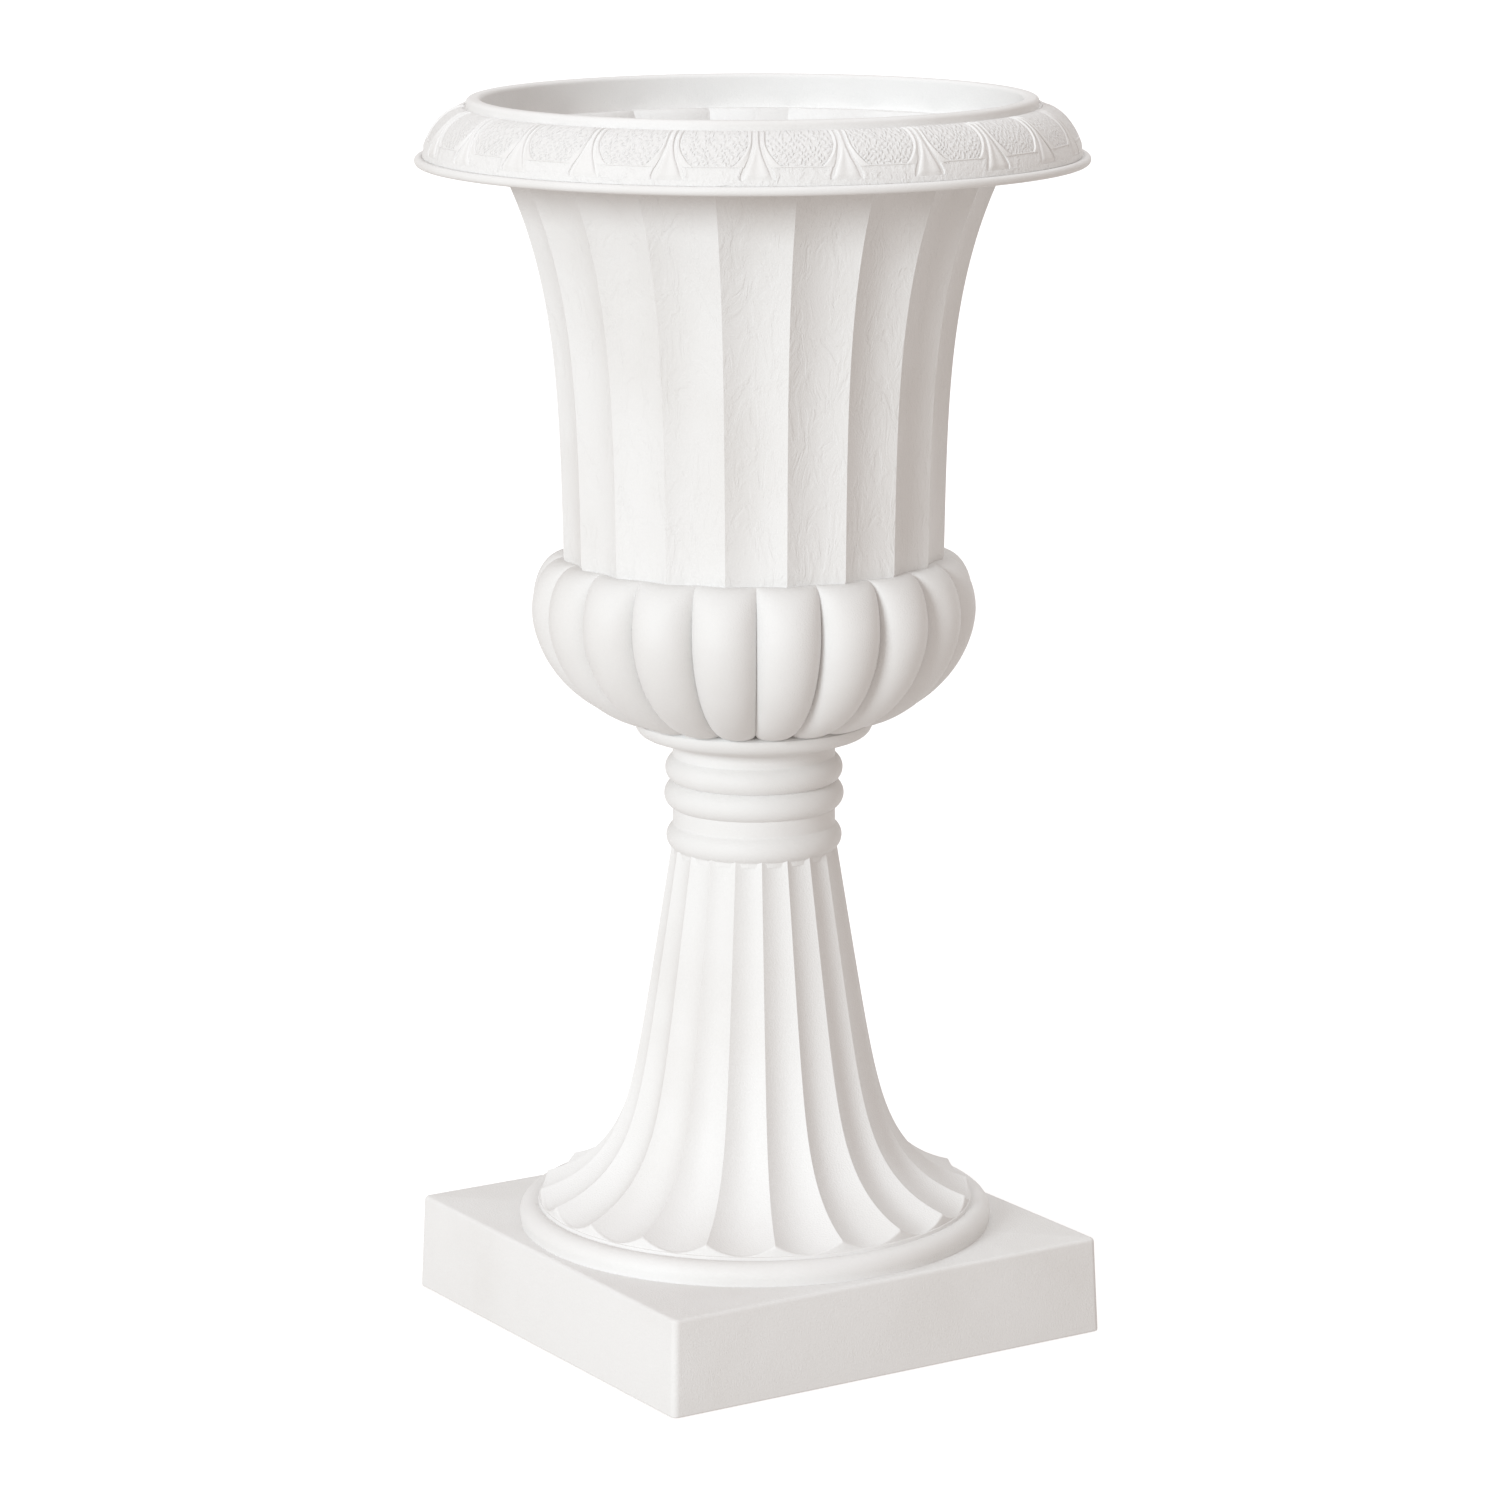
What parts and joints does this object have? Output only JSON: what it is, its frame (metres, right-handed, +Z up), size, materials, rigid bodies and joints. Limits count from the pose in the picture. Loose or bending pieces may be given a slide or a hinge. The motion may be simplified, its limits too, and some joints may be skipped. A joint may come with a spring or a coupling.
{
  "type": "pedestal vase",
  "caption": "Tall pedestal vase of white moulded plastic: fluted flaring cup with an ornamented rim, gadrooned bowl, ringed neck, fluted spreading stem, round foot and square plinth.",
  "frame": {"origin": "middle of the plinth's underside, on the floor", "axes": "+Z up through the mouth; -Y is the plinth's front side, +X its right side"},
  "size_m": [0.4283, 0.4284, 0.8],
  "materials": {
    "white_plastic": "matte white, with a fine grain and a faint vein texture",
    "zinc_steel": "zinc-plated",
    "black_rubber": "matte black"
  },
  "bodies": {
    "urn": {"plinth": "white_plastic", "foot_screws": "zinc_steel", "round_foot": "white_plastic", "stem_screws": "zinc_steel", "fluted_stem": "white_plastic", "turned_neck": "white_plastic", "gadrooned_bowl": "white_plastic", "fluted_cup": "white_plastic", "rim_screws": "zinc_steel", "rim_collar": "white_plastic", "centre_bolt": "zinc_steel", "bolt_washer": "zinc_steel", "sealing_washer": "black_rubber", "lower_washer": "zinc_steel", "hex_nut": "zinc_steel"},
    "plug": {"drain_plug": "black_rubber"}
  },
  "joints": [
    {"name": "plug_lift", "type": "slide", "parent": "urn", "child": "plug", "axis": [0, 0, 1], "range_m": [0, 0.02]}
  ]
}
